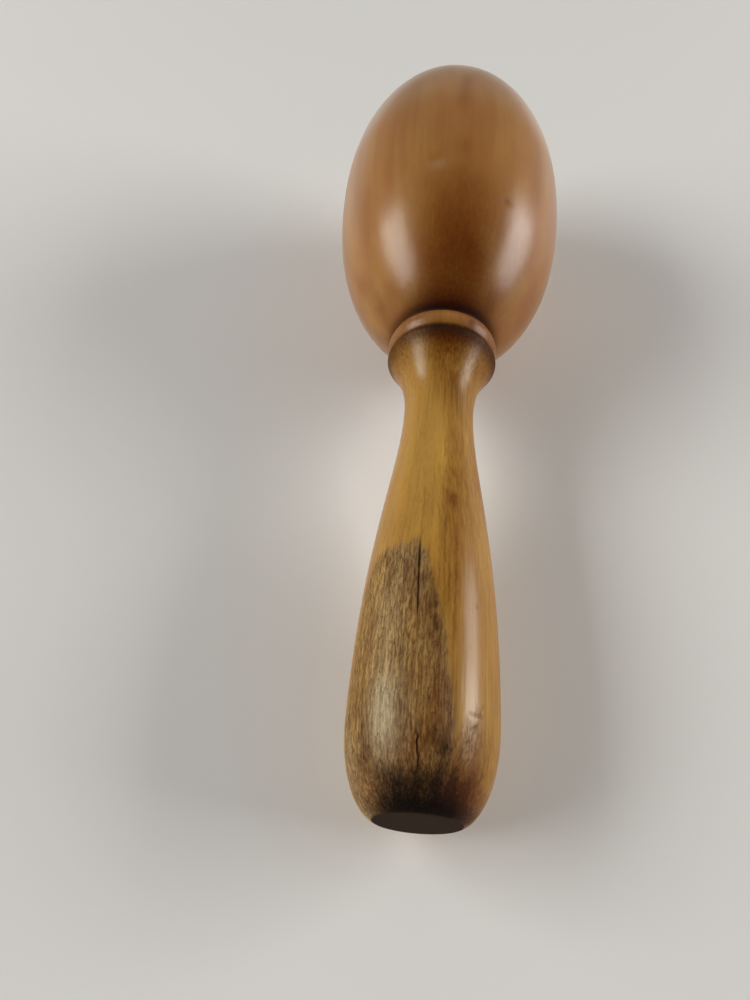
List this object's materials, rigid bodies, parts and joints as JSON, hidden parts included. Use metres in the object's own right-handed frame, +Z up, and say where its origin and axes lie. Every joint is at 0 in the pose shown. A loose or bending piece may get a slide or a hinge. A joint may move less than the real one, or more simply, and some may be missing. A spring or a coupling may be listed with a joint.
{
  "type": "darning egg",
  "caption": "Turned wooden egg on a slim turned handle, used inside a sock or glove to hold the cloth while it is darned.",
  "frame": {"origin": "on the surface the egg lies on, under the middle of its length", "axes": "+Z up, +Y along its length from the handle to the head, +X to the right seen from the handle's end"},
  "size_m": [0.047, 0.1714, 0.0479],
  "materials": {
    "head_wood": "old honey-brown varnish, glossy, worn pale on the bead",
    "handle_wood": "old amber varnish, worn through to grey stained wood towards the butt",
    "glue": "dried hide glue"
  },
  "bodies": {
    "root": {"egg_head": "head_wood", "handle": "handle_wood", "glue_film": "glue"}
  },
  "joints": []
}
